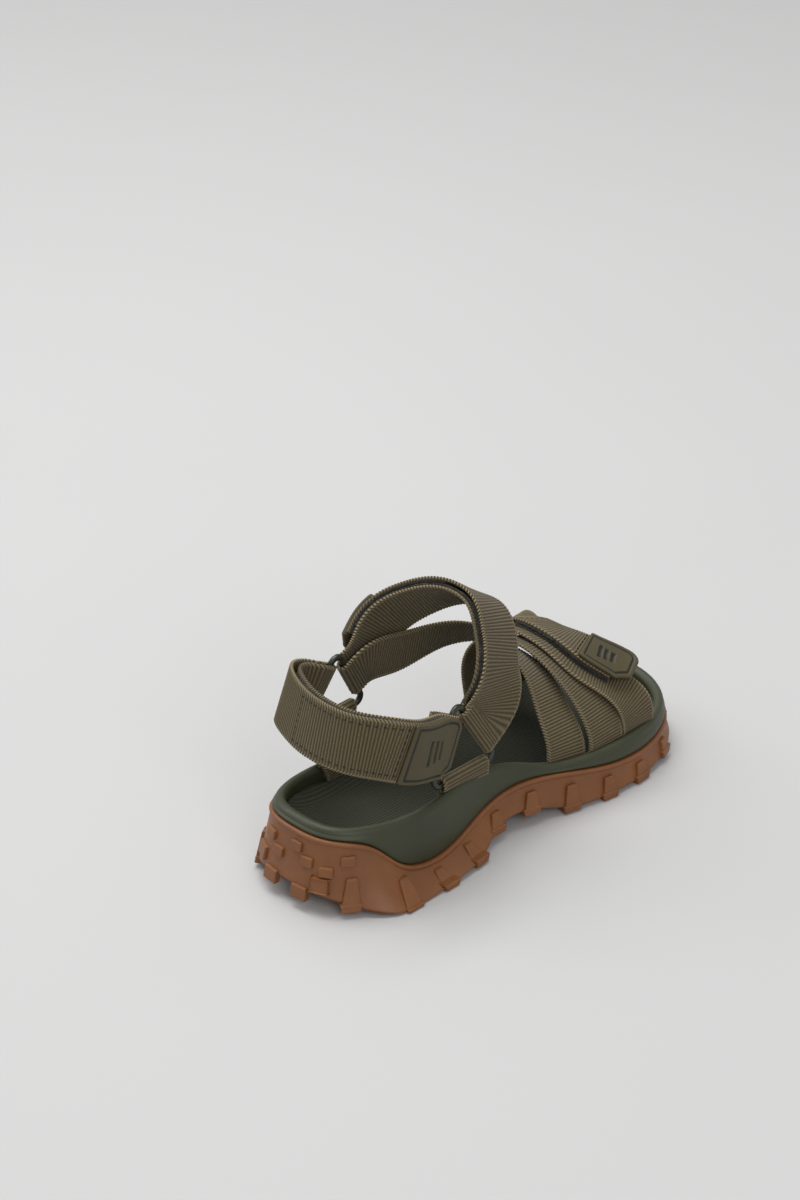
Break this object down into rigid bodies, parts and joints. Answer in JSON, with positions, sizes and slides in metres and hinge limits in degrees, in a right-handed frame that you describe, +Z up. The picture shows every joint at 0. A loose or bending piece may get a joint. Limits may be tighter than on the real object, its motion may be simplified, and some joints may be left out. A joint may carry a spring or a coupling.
{
  "type": "strappy sport sandal",
  "caption": "Right-foot sport sandal: lugged cup sole, triangular rings, webbing straps and hook-and-loop flaps that peel open at the heel, instep and toes",
  "frame": {"origin": "on the ground under the middle of the sandal's overall length and width", "axes": "+Y toward the toe, +X toward the outer side of this right-foot sandal, +Z up"},
  "size_m": [0.112, 0.2834, 0.1484],
  "materials": {
    "gum_rubber": "matt moulded gum rubber",
    "midsole_foam": "smooth moulded foam, soft sheen",
    "footbed_foam": "ribbed moulded foam",
    "ring_plastic": "moulded plastic, soft sheen",
    "webbing": "ribbed woven polyester webbing",
    "hook_pile": "short stiff hooks",
    "loop_pile": "fuzzy loop pile",
    "tab_rubber": "moulded rubber with sunk outline"
  },
  "bodies": {
    "sandal": {"outsole": "gum_rubber", "midsole": "midsole_foam", "footbed": "footbed_foam", "lateral_ring": "ring_plastic", "medial_ring": "ring_plastic", "lateral_quarter_loop": "webbing", "medial_quarter_loop": "webbing", "heel_strap_base": "webbing", "heel_strap_return": "webbing", "heel_loop_pad": "loop_pile", "instep_cross_band": "webbing", "instep_strap_base": "webbing", "instep_loop_pad": "loop_pile", "vamp_band": "webbing", "toe_strap_base": "webbing", "toe_strap_root": "webbing", "toe_loop_pad": "loop_pile", "instep_hook_strip": "hook_pile"},
    "heel_peel": {"heel_flap": "webbing", "heel_hook_pad": "hook_pile", "heel_tab": "tab_rubber"},
    "instep_peel": {"instep_flap": "webbing", "instep_hook_pad": "hook_pile", "instep_tab": "tab_rubber"},
    "toe_peel": {"toe_flap": "webbing", "toe_hook_pad": "hook_pile", "toe_tab": "tab_rubber"}
  },
  "joints": [
    {"name": "heel_peel_hinge", "type": "hinge", "parent": "sandal", "child": "heel_peel", "pos_m": [-0.02824, -0.11204, 0.10034], "axis": [-0.1324, -0.2257, -0.9652], "range_deg": [0, 100]},
    {"name": "instep_peel_hinge", "type": "hinge", "parent": "sandal", "child": "instep_peel", "pos_m": [0.00287, -0.00033, 0.1372], "axis": [-0.2755, 0.7714, -0.5737], "range_deg": [0, 110]},
    {"name": "toe_peel_hinge", "type": "hinge", "parent": "sandal", "child": "toe_peel", "pos_m": [-0.02867, 0.06351, 0.08137], "axis": [-0.1904, -0.9369, 0.2933], "range_deg": [0, 100]}
  ]
}
